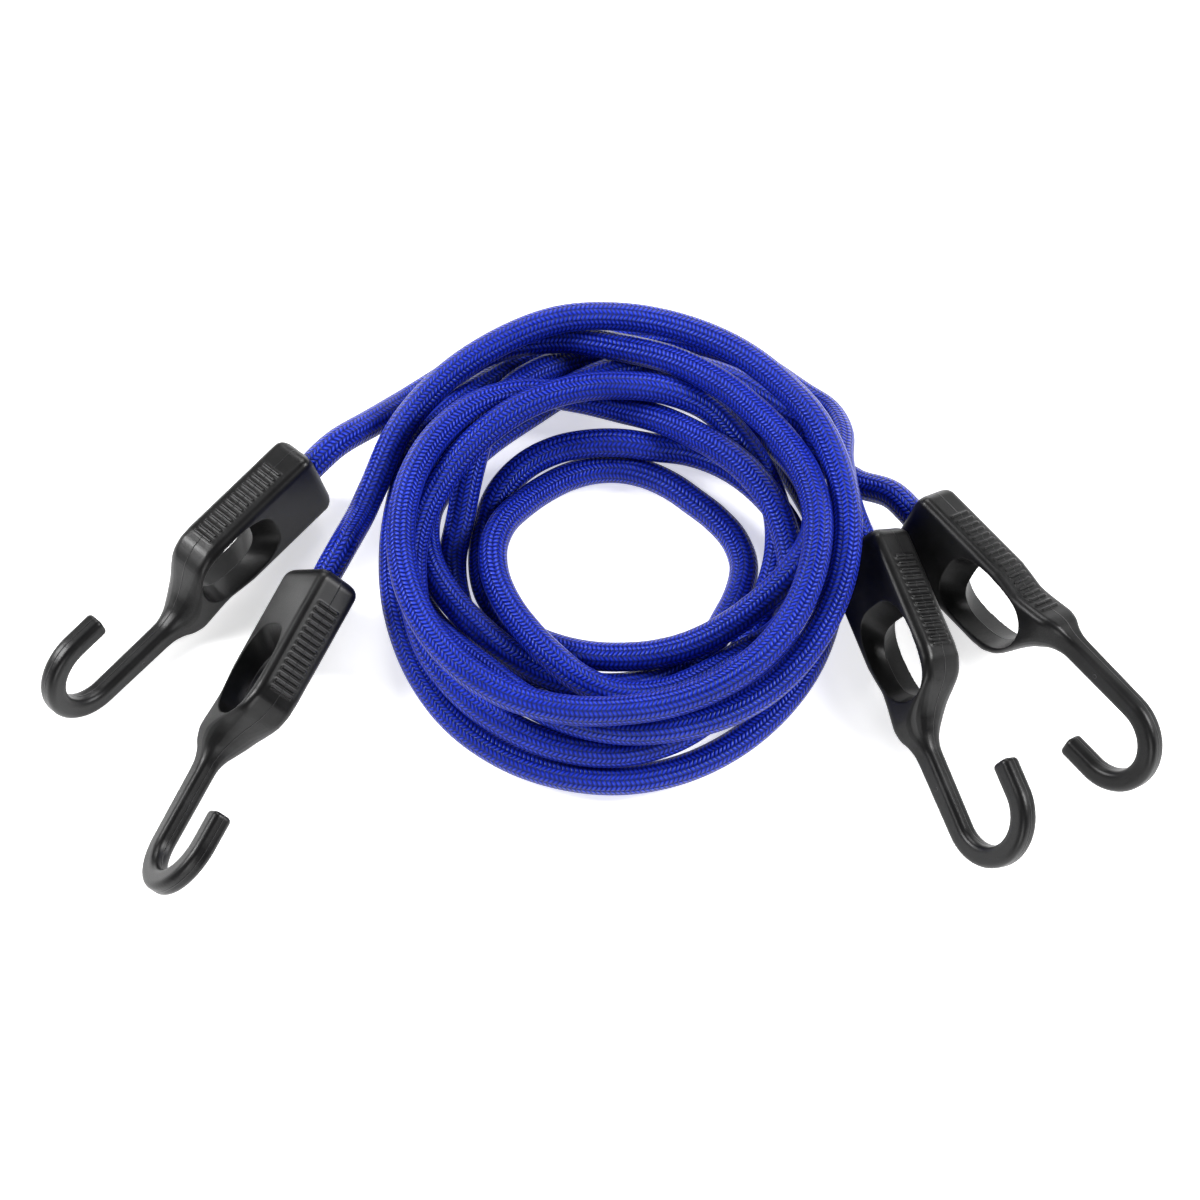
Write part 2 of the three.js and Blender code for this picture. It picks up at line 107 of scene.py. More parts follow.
# Raised bars across the two narrow faces, with a groove round each. Both faces lie further out than
# BAR_FACE_FROM, and the walls of the finger hole further in.
BAR_WIDTH = 1.3
BAR_LENGTH = 9.2
BAR_HEIGHT = 0.7
BAR_ROUNDING = 0.28
BAR_ROOT = 1.2
BAR_GROOVE = 0.35
BAR_FACE_FROM = 13
FRONT_BAR_START = 13
FRONT_BAR_PITCH = 2.72
FRONT_BAR_COUNT = 14
BACK_BAR_START = 14.6
BACK_BAR_PITCH = 2.87
BACK_BAR_COUNT = 18

# Marks of the mould: the parting line and a round ejector mark on each face of the shank
PARTING_LINE_WIDTH = 0.5
PIN_MARK_PLACE = (93.5, -10.6)
PIN_MARK_RADIUS = 0.8
PIN_MARK_FLOOR_RADIUS = 0.56
PIN_RIM_WIDTH = 0.32

# Socket: the mouth and the wider chamber behind it
MOUTH_RADIUS = 5.3
MOUTH_LENGTH = 5
CHAMBER_RADIUS = 6.6
CHAMBER_END = 20.9

# Crimped end of the cord: where it is held from, the neck under the ring and the flare past it
CORD_END_REACH = 3
CORD_END_OVERLAP = 1
CORD_END_SLACK = 0.05
RING_START = 5.3
RING_LENGTH = 9
CRIMP_NECK = 9.2
NECK_RUN = 0.7
FLARE_RUN = 1
CORD_END_FLARE = 10.8
CORD_END = 17.3
CHAMFER_RUN = 0.4
CHAMFER_SHARE = 0.8

# How finely round shapes are divided: steps of a curve, sides and rings
GRIP_END_STEPS = 8
GRIP_STEPS = 44
CORNER_STEPS = 6
BEND_STEPS = 40
TIP_STEPS = 6
BAR_END_STEPS = 7
SOCKET_SIDES = 48
CORD_END_RINGS = 40
HOLE_STEP_SHARE = 0.04

# Softening of the hook's edges: the size of a cell, the smoothing and the share of the faces that stays
CELL_SIZE = 0.3
SMOOTHING = 0.5
SMOOTHING_ROUNDS = 2
KEPT_SHARE = 0.3

# How far a cutter runs out of what it cuts, a radius or step too small to see, and the gap that is welded
OVERRUN = 1
HAIR = 0.01
WELD_DISTANCE = 0.01

# Hooks: the roll of each about its cord, in degrees
HOOK_ROLLS = {1: 102.8, 2: 240, 3: 50.6, 4: 57.1}

# The middle of hook 1's mouth, from the point on the ground that the coil and the tails are drawn about
FIRST_MOUTH = (-107.5, 43.6)

# Coil: the sides of its CAD tubes, and the middle of the first ring of each
COIL_SIDES = 6
COIL_STARTS = {"a": (77.65, 80.65, 8), "b": (68.1, 71.1, 16)}

# The points of each tail between the coil and its hook
TAIL_ROUTES = {
    1: [(-84.5, 66.5, 15.5)],
    2: [(81.5, 56.5, 9.5), (88.5, 49.5, 9), (96, 43, 10.5)],
    3: [(-92, 16, 21)],
    4: [(89.5, 61.5, 15.5), (88.8, 48, 21), (89.8, 35, 23.4)],
}

# Camera: distance, and in degrees its height angle and its field of view
VIEW_DISTANCE = 1200
VIEW_ELEVATION = 65
VIEW_ANGLE = 20.96

# Studio, in metres and watts: the floor's half width and glow, the strength of the light from all round,
# where the lights aim, and each light's place, size and power
FLOOR_REACH = 6
FLOOR_GLOW = 0.6
WORLD_STRENGTH = 0.06
LIGHT_AIM = (0, 0.03, 0)
LIGHTS = {
    "left_light": ((-1.0, 0.25, 0.75), 0.45, 20),
    "right_light": ((1.0, 0.15, 0.75), 0.45, 18),
    "front_light": ((0, -1.1, 0.5), 0.6, 7),
    "back_light": ((0, 1.0, 0.8), 0.6, 10),
}


# Where things lie

def named_joint(name):
    """The record's joint of that name."""
    return next(joint for joint in frame["record"]["behaviour"]["joints"] if joint["name"] == name)


def hook_matrix(number):
    """The hook's own axes: X from the mouth along the cord's line, Y to the curled side."""
    swivel = named_joint(f"swivel_{number}")
    along = Vector(swivel["axis"]).normalized()
    level = Vector((-along.y, along.x, 0)).normalized()
    upright = along.cross(level)
    roll = math.radians(HOOK_ROLLS[number])
    side = level * math.cos(roll) + upright * math.sin(roll)
    face = along.cross(side)
    axes = Matrix((along, side, face)).transposed().to_4x4()
    return Matrix.Translation(Vector(swivel["pos_m"])) @ axes


HOOK_MATRICES = {number: hook_matrix(number) for number in HOOK_ROLLS}
# The point on the ground that the coil and the tails are drawn about
DRAWING_ORIGIN = HOOK_MATRICES[1].translation / MM - Vector((*FIRST_MOUTH, 0))
DRAWING_ORIGIN.z = 0


def add_camera():
    lens = bpy.data.cameras.new("camera")
    lens.sensor_fit = "HORIZONTAL"
    lens.angle = math.radians(VIEW_ANGLE)
    camera = bpy.data.objects.new("camera", lens)
    bpy.context.collection.objects.link(camera)
    tilt = math.radians(VIEW_ELEVATION)
    away = Vector((0, -math.cos(tilt), math.sin(tilt))) * VIEW_DISTANCE
    camera.location = (DRAWING_ORIGIN + away) * MM
    camera.rotation_euler = (math.pi / 2 - tilt, 0, 0)
    bpy.context.scene.camera = camera


# The cords' lines

def mix(start, end, start_place, end_place, place):
    """The point at a place on the straight line through two points with places of their own."""
    return (start * (end_place - place) + end * (place - start_place)) / (end_place - start_place)


def through(points, spacing):
    """A centripetal curve through points, at about even spacing."""
    points = [np.array(point, float) for point in points]
    points = [2 * points[0] - points[1]] + points + [2 * points[-1] - points[-2]]
    line = []
    for before, start, end, after in zip(points, points[1:], points[2:], points[3:]):
        start_place = math.sqrt(np.linalg.norm(start - before))
        end_place = start_place + math.sqrt(np.linalg.norm(end - start))
        after_place = end_place + math.sqrt(np.linalg.norm(after - end))
        count = max(2, int(np.linalg.norm(end - start) / spacing))
        for place in np.linspace(start_place, end_place, count, endpoint=False):
            first = mix(before, start, 0, start_place, place)
            middle = mix(start, end, start_place, end_place, place)
            last = mix(end, after, end_place, after_place, place)
            early = mix(first, middle, 0, end_place, place)
            late = mix(middle, last, start_place, after_place, place)
            line.append(mix(early, late, start_place, end_place, place))
    line.append(points[-2])
    return np.array(line)


def places_along(line):
    """How far along a line each of its points lies."""
    return np.concatenate([[0], np.cumsum(np.linalg.norm(np.diff(line, axis=0), axis=1))])


def length_of(line):
    return float(places_along(line)[-1])


def unit(vector):
    return vector / np.linalg.norm(vector)


def evenly(line, spacing):
    """The same line with its points evenly spaced."""
    lengths = places_along(line)
    count = max(2, int(round(lengths[-1] / spacing)) + 1)
    places = np.linspace(0, lengths[-1], count)
    return np.stack([np.interp(places, lengths, line[:, axis]) for axis in range(3)], axis=1)


def tail_line(coil_end, coil_way, number):
    """From a coil's end, through the given points, into the hook's mouth."""
    matrix = HOOK_MATRICES[number]
    along = np.array(matrix.to_3x3().col[0])
    mouth = np.array(matrix.translation) / MM
    route = [np.array(point) + np.array(DRAWING_ORIGIN) for point in TAIL_ROUTES[number]]
    outside = mouth - along * (CORD_END_REACH + CORD_DIAMETER)
    inside = mouth + along * MOUTH_LENGTH
    points = [coil_end, coil_end + coil_way * CORD_DIAMETER, *route, outside, inside]
    return evenly(through(points, RING_STEP / 2), RING_STEP)


def coil_line(letter):
    """A cord's turns as closely spaced points, through the middles of its CAD tube's rings.

    They lie above those middles by half of what the braid is thicker than the tube.
    """
    coil = bmesh.new()
    coil.from_mesh(bpy.data.objects[f"coil_{letter}"].data)
    bmesh.ops.remove_doubles(coil, verts=coil.verts, dist=WELD_DISTANCE * MM)
    coil.verts.index_update()
    start = (DRAWING_ORIGIN + Vector(COIL_STARTS[letter])) * MM
    ring = sorted(coil.verts, key=lambda vertex: (vertex.co - start).length)[:COIL_SIDES]
    seen = set(ring)
    middles = []
    while ring:
        middles.append(sum((vertex.co for vertex in ring), Vector()) / len(ring))
        beside = {edge.other_vert(vertex) for vertex in ring for edge in vertex.link_edges}
        ring = sorted(beside - seen, key=lambda vertex: vertex.index)
        seen.update(ring)
    coil.free()
    lift = Vector((0, 0, (BRAID_DIAMETER - CORD_DIAMETER) / 2))
    return through([middle / MM + lift for middle in middles], RING_STEP)


# Meshes

def mesh_object(name, vertices, faces):
    mesh = bpy.data.meshes.new(name)
    mesh.from_pydata([tuple(vertex) for vertex in vertices], [], faces)
    mesh.validate()
    mesh.shade_smooth()
    piece = bpy.data.objects.new(name, mesh)
    bpy.context.collection.objects.link(piece)
    return piece


@contextmanager
def mesh_work(piece):
    """Opens a piece's mesh for changes and puts them back into it."""
    work = bmesh.new()
    work.from_mesh(piece.data)
    yield work
    work.to_mesh(piece.data)
    work.free()


def apply_modifiers(piece):
    bpy.context.view_layer.update()
    graph = bpy.context.evaluated_depsgraph_get()
    mesh = bpy.data.meshes.new_from_object(piece.evaluated_get(graph))
    piece.modifiers.clear()
    old = piece.data
    piece.data = mesh
    bpy.data.meshes.remove(old)


def cut(piece, vertices, faces):
    """Cuts a closed shape out of a piece."""
    tool = mesh_object("cutter", vertices, faces)
    work = piece.modifiers.new("cut", "BOOLEAN")
    work.operation = "DIFFERENCE"
    work.solver = "EXACT"
    work.object = tool
    apply_modifiers(piece)
    bpy.data.objects.remove(tool)


def band_faces(rings, sides):
    """The faces between a number of rings that have equally many corners."""
    faces = []
    for ring in range(rings - 1):
        for side in range(sides):
            here = ring * sides + side
            beside = ring * sides + (side + 1) % sides
            faces.append((here, beside, beside + sides, here + sides))
    return faces


def skin(rings):
    """Vertices and faces that close a list of equal rings."""
    sides = len(rings[0])
    last = (len(rings) - 1) * sides
    ends = [tuple(range(sides - 1, -1, -1)), tuple(range(last, last + sides))]
    return [corner for ring in rings for corner in ring], band_faces(len(rings), sides) + ends


def lathe(profile):
    """Vertices and faces of a round body about X, from a profile of places along and radii."""
    turns = np.arange(SOCKET_SIDES) / SOCKET_SIDES * 2 * math.pi
    return skin([[(along, radius * math.cos(turn), radius * math.sin(turn)) for turn in turns]
                 for along, radius in profile])


def tube(name, line, start_along, radius):
    """A round tube along a line, with a map of the way along and the way round, in stitches and legs."""
    way = np.gradient(line, axis=0)
    way /= np.linalg.norm(way, axis=1)[:, None]
    across = np.stack([-way[:, 1], way[:, 0], np.zeros(len(way))], axis=1)
    across /= np.linalg.norm(across, axis=1)[:, None]
    up = np.cross(way, across)
    turns = np.arange(RING_SIDES) / RING_SIDES * 2 * math.pi
    outward = (across[:, None, :] * np.cos(turns)[None, :, None]
               + up[:, None, :] * np.sin(turns)[None, :, None])
    rings = line[:, None, :] + radius[:, None, None] * outward
    piece = mesh_object(name, rings.reshape(-1, 3) * MM, band_faces(len(line), RING_SIDES))
    along = start_along + places_along(line)
    layer = piece.data.uv_layers.new(name="braid")
    for face, polygon in enumerate(piece.data.polygons):
        ring, side = divmod(face, RING_SIDES)
        corners = ((ring, side), (ring, side + 1), (ring + 1, side + 1), (ring + 1, side))
        for loop, (at, turn) in zip(polygon.loop_indices, corners):
            layer.data[loop].uv = (along[at] / BRAID_PITCH, turn / RING_SIDES * BRAID_LEGS)
    return piece


# The hook's shape

# Along (share of the grip's length), back edge and front edge (shares of half its depth),
# half thickness and front corner (shares of half its thickness)
GRIP_STATION_SHARES = [
    (0.51, -1, 1, 1, 0.36),
    (0.58, -0.94, 1, 1, 0.36),
    (0.61, -0.91, 0.98, 1, 0.36),
    (0.64, -0.885, 0.95, 1, 0.34),
    (0.67, -0.89, 0.87, 1, 0.32),
    (0.7, -0.905, 0.77, 1, 0.34),
    (0.725, -0.925, 0.65, 1, 0.44),
    (0.75, -0.945, 0.47, 1, 0.56),
    (0.785, -0.975, 0.21, 1, 0.74),
    (0.82, -1.01, -0.01, 0.97, 0.78),
    (0.85, -1.02, -0.14, 0.87, 0.74),
    (0.875, -1.01, -0.25, 0.77, 0.64),
    (0.905, -0.96, -0.33, 0.62, 0.5),
    (0.95, -0.925, -0.4, 0.48, 0.34),
]
BACK_EDGE_COLUMN = 1
FRONT_EDGE_COLUMN = 2

# Half of the finger hole's outline: along and out, as shares of its length and half its width
HOLE_OUTLINE_SHARES = [
    (0, 0), (0.002, 0.2), (0.02, 0.48), (0.08, 0.73), (0.21, 0.93), (0.36, 1), (0.54, 0.99),
    (0.68, 0.94), (0.81, 0.84), (0.91, 0.64), (0.98, 0.33), (1, 0),
]


def between(rows, place, column):
    """A smooth value of a column between rows that start with their place."""
    last = len(rows) - 1
    above = max(1, next(number for number, row in enumerate(rows) if row[0] >= place))
    numbers = (above - 2, above - 1, above, above + 1)
    before, start, end, after = (rows[min(max(number, 0), last)] for number in numbers)
    span = end[0] - start[0]
    share = (place - start[0]) / span
    start_slope = (end[column] - before[column]) / (end[0] - before[0]) * span
    end_slope = (after[column] - start[column]) / (after[0] - start[0]) * span
    square = share * share
    cube = square * share
    return (start[column] * (2 * cube - 3 * square + 1) + start_slope * (cube - 2 * square + share)
            + end[column] * (3 * square - 2 * cube) + end_slope * (cube - square))


def smooth_rows(rows, count):
    """A number of evenly placed rows, with smooth values between those given."""
    places = np.linspace(rows[0][0], rows[-1][0], count)
    columns = range(1, len(rows[0]))
    return [(place, *(between(rows, place, column) for column in columns)) for place in places]


def section(centre, side, half_depth, half_thickness, back, front, front_thickness):
    """A rounded rectangle across the hook, as in the CAD model, with finer corners."""
    ring = []
    for way, face, run, rise in ((1, -1, front, front_thickness), (1, 1, front, front_thickness),
                                 (-1, 1, back, back), (-1, -1, back, back)):
        shares = np.linspace(0, 1, CORNER_STEPS)
        for share in (shares if way * face > 0 else shares[::-1]):
            turn = share * math.pi / 2
            across = way * (half_depth - run + run * math.cos(turn))
            height = face * (half_thickness - rise + rise * math.sin(turn))
            ring.append((centre[0] + side[0] * across, centre[1] + side[1] * across, height))
    return ring


def grip_end_rings():
    """The rounded end of the grip, round the mouth."""
    rings = []
    for turn in np.linspace(0, math.pi / 2, GRIP_END_STEPS):
        inset = 1 - math.sin(turn)
        rings.append(section((GRIP_END_ROUNDING * (1 - math.cos(turn)), 0), (0, 1),
                             GRIP_DEPTH / 2 - GRIP_END_ROUNDING * inset,
                             GRIP_THICKNESS / 2 - GRIP_EDGE_ROUNDING * inset,
                             GRIP_EDGE_ROUNDING, GRIP_EDGE_ROUNDING, GRIP_EDGE_ROUNDING))
    return rings


def grip_rings():
    """The waist of the grip and the neck, down to the start of the shank."""
    half_depth = GRIP_DEPTH / 2
    half_thickness = GRIP_THICKNESS / 2
    shank_back = -(SHANK_OFFSET + SHANK_DEPTH / 2) / half_depth
    shank_front = -(SHANK_OFFSET - SHANK_DEPTH / 2) / half_depth
    shank = (1, shank_back, shank_front, SHANK_THICKNESS / GRIP_THICKNESS,
             SHANK_EDGE_ROUNDING / half_thickness)
    rings = []
    for share, back, front, thickness, corner in smooth_rows([*GRIP_STATION_SHARES, shank], GRIP_STEPS):
        thick = thickness * half_thickness
        front_corner = corner * half_thickness
        rings.append(section((share * GRIP_LENGTH, (back + front) / 2 * half_depth), (0, 1),
                             (front - back) / 2 * half_depth, thick, GRIP_EDGE_ROUNDING * thickness,
                             front_corner, min(front_corner, thick)))
    return rings


def shank_ring(x, y, turn, inset=0):
    """One section of the shank, turned as the bend is there, and drawn in by an inset."""
    corner = SHANK_EDGE_ROUNDING - inset
    return section((x, y), (-math.sin(turn), math.cos(turn)), SHANK_DEPTH / 2 - inset,
                   SHANK_THICKNESS / 2 - inset, corner, corner, corner)


def bend_and_tip_rings():
    bend_start = GRIP_LENGTH + SHANK_LENGTH
    rings = []
    for turn in np.linspace(0, math.pi, BEND_STEPS):
        x = bend_start + BEND_RADIUS * math.sin(turn)
        y = -SHANK_OFFSET + BEND_RADIUS * (1 - math.cos(turn))
        rings.append(shank_ring(x, y, turn))
    tip_side = -SHANK_OFFSET + 2 * BEND_RADIUS
    for turn in np.linspace(0, math.pi / 2, TIP_STEPS):
        x = bend_start - TIP_LENGTH + TIP_ROUNDING * (1 - math.sin(turn))
        rings.append(shank_ring(x, tip_side, math.pi, TIP_ROUNDING * (1 - math.cos(turn))))
    return rings


def finger_hole():
    """The cutter for the finger hole: rims on both faces and a ridge half way through."""
    half_thickness = GRIP_THICKNESS / 2
    half = through([(along, out, 0) for along, out in HOLE_OUTLINE_SHARES], HOLE_STEP_SHARE)

    def outline(height):
        share = abs(height) / half_thickness
        start = RIDGE_START + (RIM_START - RIDGE_START) * share
        length = RIDGE_LENGTH + (RIM_LENGTH - RIDGE_LENGTH) * share
        half_width = (RIDGE_WIDTH + (RIM_WIDTH - RIDGE_WIDTH) * share) / 2
        right = [(start + along * length, -out * half_width, height) for along, out, _ in half]
        left = [(start + along * length, out * half_width, height) for along, out, _ in half[-2:0:-1]]
        return right + left

    outside = half_thickness + OVERRUN
    return skin([outline(height) for height in (-outside, 0, outside)])


def socket():
    """The cutter for the blind socket in the grip."""
    return lathe([(-OVERRUN, HAIR), (-OVERRUN, MOUTH_RADIUS), (MOUTH_LENGTH, MOUTH_RADIUS),
                  (MOUTH_LENGTH + HAIR, CHAMBER_RADIUS), (CHAMBER_END, CHAMBER_RADIUS), (CHAMBER_END, HAIR)])


def narrow_face(along, side):
    """Where a narrow face lies at a place along the grip: side -1 is the back, 1 the front."""
    share = along / GRIP_LENGTH
    if share <= GRIP_STATION_SHARES[0][0]:
        return side * GRIP_DEPTH / 2
    column = BACK_EDGE_COLUMN if side < 0 else FRONT_EDGE_COLUMN
    return between(GRIP_STATION_SHARES, share, column) * GRIP_DEPTH / 2


def bar(along, side):
    """A raised bar with rounded ends across a narrow face."""
    half_width = BAR_WIDTH / 2
    straight = BAR_LENGTH / 2 - half_width
    face = narrow_face(along, side)
    rings = []
    for out, inset in ((-BAR_ROOT, 0), (BAR_HEIGHT - BAR_ROUNDING, 0), (BAR_HEIGHT, BAR_ROUNDING)):
        reach = half_width - inset
        ring = []
        for end in (1, -1):
            for turn in np.linspace(0, math.pi, BAR_END_STEPS):
                ring.append((along + end * reach * math.cos(turn), face + side * out,
                             end * (straight + reach * math.sin(turn))))
        rings.append(ring)
    return skin(rings if side < 0 else rings[::-1])


def add_bars(piece):
    """Puts both rows of raised bars on the grip."""
    bars = [bar(FRONT_BAR_START + number * FRONT_BAR_PITCH, 1) for number in range(FRONT_BAR_COUNT)]
    bars += [bar(BACK_BAR_START + number * BACK_BAR_PITCH, -1) for number in range(BACK_BAR_COUNT)]
    with mesh_work(piece) as work:
        for vertices, faces in bars:
            made = [work.verts.new(vertex) for vertex in vertices]
            for face in faces:
                work.faces.new([made[corner] for corner in face])
        bmesh.ops.recalc_face_normals(work, faces=work.faces)


def soften_edges(piece):
    """Joins all parts of the hook into one surface with softly rounded edges."""
    remesh = piece.modifiers.new("remesh", "REMESH")
    remesh.mode = "VOXEL"
    remesh.voxel_size = CELL_SIZE
    soften = piece.modifiers.new("soften", "SMOOTH")
    soften.factor = SMOOTHING
    soften.iterations = SMOOTHING_ROUNDS
    thin = piece.modifiers.new("thin", "DECIMATE")
    thin.ratio = KEPT_SHARE
    apply_modifiers(piece)


def hook_mesh():
    """The moulded hook as one mesh, in its own axes and in metres."""
    piece = mesh_object("hook_shape", *skin(grip_end_rings() + grip_rings() + bend_and_tip_rings()))
    with mesh_work(piece) as work:
        bmesh.ops.recalc_face_normals(work, faces=work.faces)
    cut(piece, *finger_hole())
    cut(piece, *socket())
    add_bars(piece)
    soften_edges(piece)
    mesh = piece.data
    mesh.transform(Matrix.Scale(MM, 4))
    mesh.shade_smooth()
    bpy.data.objects.remove(piece)
    return mesh


# Materials

class Nodes:
    """Short calls for building a material's nodes."""

    def __init__(self, name):
        self.material = bpy.data.materials.new(name)
        self.material.use_nodes = True
        self.tree = self.material.node_tree
        self.shader = self.tree.nodes["Principled BSDF"]

    def node(self, kind, **settings):
        made = self.tree.nodes.new(kind)
        for name, value in settings.items():
            setattr(made, name, value)
        return made

    def link(self, output, socket):
        self.tree.links.new(output, socket)

    def parts(self, vector):
        """The X, Y and Z of a vector."""
        split = self.node("ShaderNodeSeparateXYZ")
        self.link(vector, split.inputs[0])
        return split.outputs

    def position(self):
        """The place on the piece, in the piece's own axes."""
        return self.node("ShaderNodeTexCoord").outputs["Object"]

    def math(self, operation, *values):
        made = self.node("ShaderNodeMath", operation=operation)
        for socket, value in zip(made.inputs, values):
            if isinstance(value, bpy.types.NodeSocket):
                self.link(value, socket)
            else:
                socket.default_value = value
        return made.outputs[0]

    def hump(self, value):
        """Rises from 0 to 1 and falls back to 0 between whole numbers."""
        return self.math("ABSOLUTE", self.math("SINE", self.math("MULTIPLY", value, math.pi)))

    def distance(self, across, along):
        """How far a point is from the origin, from its two coordinates."""
        squares = [self.math("POWER", value, 2.0) for value in (across, along)]
        return self.math("SQRT", self.math("ADD", *squares))

    def varied(self, value, noise, amount):
        """The value with a noise's swing about its middle added to it."""
        swing = self.math("SUBTRACT", noise, 0.5)
        return self.math("ADD", value, self.math("MULTIPLY", swing, amount))

    def ramp(self, value, stops):
        made = self.node("ShaderNodeValToRGB")
        marks = made.color_ramp.elements
        while len(marks) < len(stops):
            marks.new(0.5)
        for mark, (place, colour) in zip(marks, stops):
            mark.position = place
            mark.color = (*colour, 1)
        self.link(value, made.inputs[0])
        return made.outputs[0]

    def fade(self, value, start, end):
        """Rises smoothly from 0 at the start to 1 at the end."""
        made = self.node("ShaderNodeMapRange", interpolation_type="SMOOTHSTEP")
        made.inputs["From Min"].default_value = start
        made.inputs["From Max"].default_value = end
        self.link(value, made.inputs["Value"])
        return made.outputs[0]

    def noise(self, vector, scale, detail, roughness):
        made = self.node("ShaderNodeTexNoise")
        made.inputs["Scale"].default_value = scale
        made.inputs["Detail"].default_value = detail
        made.inputs["Roughness"].default_value = roughness
        self.link(vector, made.inputs["Vector"])
        return made.outputs["Fac"]

    def bump(self, height, strength, distance, normal=None):
        made = self.node("ShaderNodeBump")
        made.inputs["Strength"].default_value = strength
        made.inputs["Distance"].default_value = distance
        self.link(height, made.inputs["Height"])
        if normal is not None:
            self.link(normal, made.inputs["Normal"])
        return made.outputs["Normal"]


def braid_material():
    """Blue herringbone braid: plump stitches in legs that slant one way and then the other."""
    n = Nodes("braid")
    along, around, _ = n.parts(n.node("ShaderNodeUVMap", uv_map="braid").outputs["UV"])
    zigzag = n.math("PINGPONG", around, 1.0)
    phase = n.math("ADD", along, n.math("MULTIPLY", zigzag, BRAID_SLANT))
    crown = n.math("POWER", n.hump(phase), CROWN_POWER)
    shoulder = n.math("POWER", n.hump(n.math("FRACT", around)), SHOULDER_POWER)
    stitch = n.math("MULTIPLY", crown, shoulder)
    position = n.position()
    fibres = n.noise(position, scale=5200, detail=2.0, roughness=0.6)
    patches = n.noise(position, scale=60, detail=3.0, roughness=0.55)
    shade = n.varied(stitch, fibres, amount=0.35)
    shade = n.varied(shade, patches, amount=0.25)
    # The ramp paints shade into the grooves between stitches and paints a highlight on their crowns; the
    # fibres and patches vary the tone.
    colour = n.ramp(shade, [
        (0.1, (0.0004, 0.001, 0.03)),
        (0.45, (0.0015, 0.005, 0.13)),
        (0.8, (0.005, 0.015, 0.3)),
        (1.0, (0.02, 0.045, 0.55)),
    ])
    n.link(colour, n.shader.inputs["Base Color"])
    n.shader.inputs["Roughness"].default_value = 0.3
    n.shader.inputs["Specular IOR Level"].default_value = 0.35
    n.shader.inputs["Specular Tint"].default_value = (0.4, 0.55, 1.0, 1)
    weave = n.bump(stitch, strength=0.8, distance=0.4 * MM)
    fine = n.bump(fibres, strength=0.25, distance=0.12 * MM, normal=weave)
    n.link(fine, n.shader.inputs["Normal"])
    return n.material


def bar_grooves(n, place, start, pitch, count, side):
    """Fine grooves round the raised bars of one narrow face: 1 in a groove and 0 away from it."""
    x, y, z = place
    half_width = BAR_WIDTH / 2
    row = n.math("DIVIDE", n.math("SUBTRACT", x, (start - pitch / 2) * MM), pitch * MM)
    from_middle = n.math("MULTIPLY", n.math("SUBTRACT", n.math("FRACT", row), 0.5), pitch)
    out = n.math("DIVIDE", n.math("ABSOLUTE", z), MM)
    past_straight = n.math("MAXIMUM", n.math("SUBTRACT", out, BAR_LENGTH / 2 - half_width), 0.0)
    from_edge = n.math("SUBTRACT", n.distance(from_middle, past_straight), half_width)
    groove = n.fade(n.math("ABSOLUTE", from_edge), BAR_GROOVE, 0)
    in_row = n.math("MULTIPLY", n.math("GREATER_THAN", row, 0.0), n.math("LESS_THAN", row, float(count)))
    on_face = n.math("GREATER_THAN", n.math("MULTIPLY", y, float(side)), BAR_FACE_FROM * MM)
    return n.math("MULTIPLY", groove, n.math("MULTIPLY", in_row, on_face))


def plastic_material():
    """Black moulded plastic with a fine grain, paler patches and the marks of its mould; raised marks carry
    a painted highlight and the bar grooves painted shade.
    """
    n = Nodes("moulded_plastic")
    position = n.position()
    grain = n.noise(position, scale=2600, detail=3.0, roughness=0.65)
    patches = n.noise(position, scale=90, detail=3.0, roughness=0.5)
    x, y, z = n.parts(position)
    parting_line = n.fade(n.math("ABSOLUTE", z), PARTING_LINE_WIDTH / 2 * MM, 0)
    pin_x, pin_y = PIN_MARK_PLACE
    from_pin = n.distance(n.math("SUBTRACT", x, pin_x * MM), n.math("SUBTRACT", y, pin_y * MM))
    pin_mark = n.fade(from_pin, PIN_MARK_RADIUS * MM, PIN_MARK_FLOOR_RADIUS * MM)
    from_rim = n.math("ABSOLUTE", n.math("SUBTRACT", from_pin, PIN_MARK_RADIUS * MM))
    pin_rim = n.fade(from_rim, PIN_RIM_WIDTH * MM, 0)
    grooves = n.math("ADD",
                     bar_grooves(n, (x, y, z), FRONT_BAR_START, FRONT_BAR_PITCH, FRONT_BAR_COUNT, 1),
                     bar_grooves(n, (x, y, z), BACK_BAR_START, BACK_BAR_PITCH, BACK_BAR_COUNT, -1))
    # The parting line and the pin mark's rim are painted lighter: a painted highlight on the raised marks.
    raised = n.math("MAXIMUM", parting_line, pin_rim)
    shade = n.math("ADD", n.math("MULTIPLY", grain, GRAIN_SHADE), n.math("MULTIPLY", patches, PATCH_SHADE))
    shade = n.math("ADD", shade, n.math("MULTIPLY", raised, MARK_PAINTED_HIGHLIGHT))
    # The grooves round the bars are painted darker: a painted shade in them.
    shade = n.math("SUBTRACT", shade, n.math("MULTIPLY", grooves, GROOVE_PAINTED_SHADE))
    colour = n.ramp(shade, [
        (0.15, (0.0005, 0.0005, 0.0005)),
        (0.35, (0.002, 0.002, 0.0022)),
        (0.55, (0.004, 0.004, 0.0043)),
        (0.75, (0.014, 0.014, 0.015)),
    ])
    n.link(colour, n.shader.inputs["Base Color"])
    rough = n.node("ShaderNodeMapRange")
    rough.inputs["To Min"].default_value = 0.3
    rough.inputs["To Max"].default_value = 0.46
    n.link(patches, rough.inputs["Value"])
    n.link(rough.outputs[0], n.shader.inputs["Roughness"])
    n.shader.inputs["Specular IOR Level"].default_value = 0.28
    hollows = n.math("MULTIPLY", n.math("ADD", pin_mark, grooves), HOLLOW_DEPTH)
    marks = n.bump(n.math("SUBTRACT", parting_line, hollows), strength=1.0, distance=0.12 * MM)
    n.link(n.bump(grain, strength=0.35, distance=0.08 * MM, normal=marks), n.shader.inputs["Normal"])
    return n.material


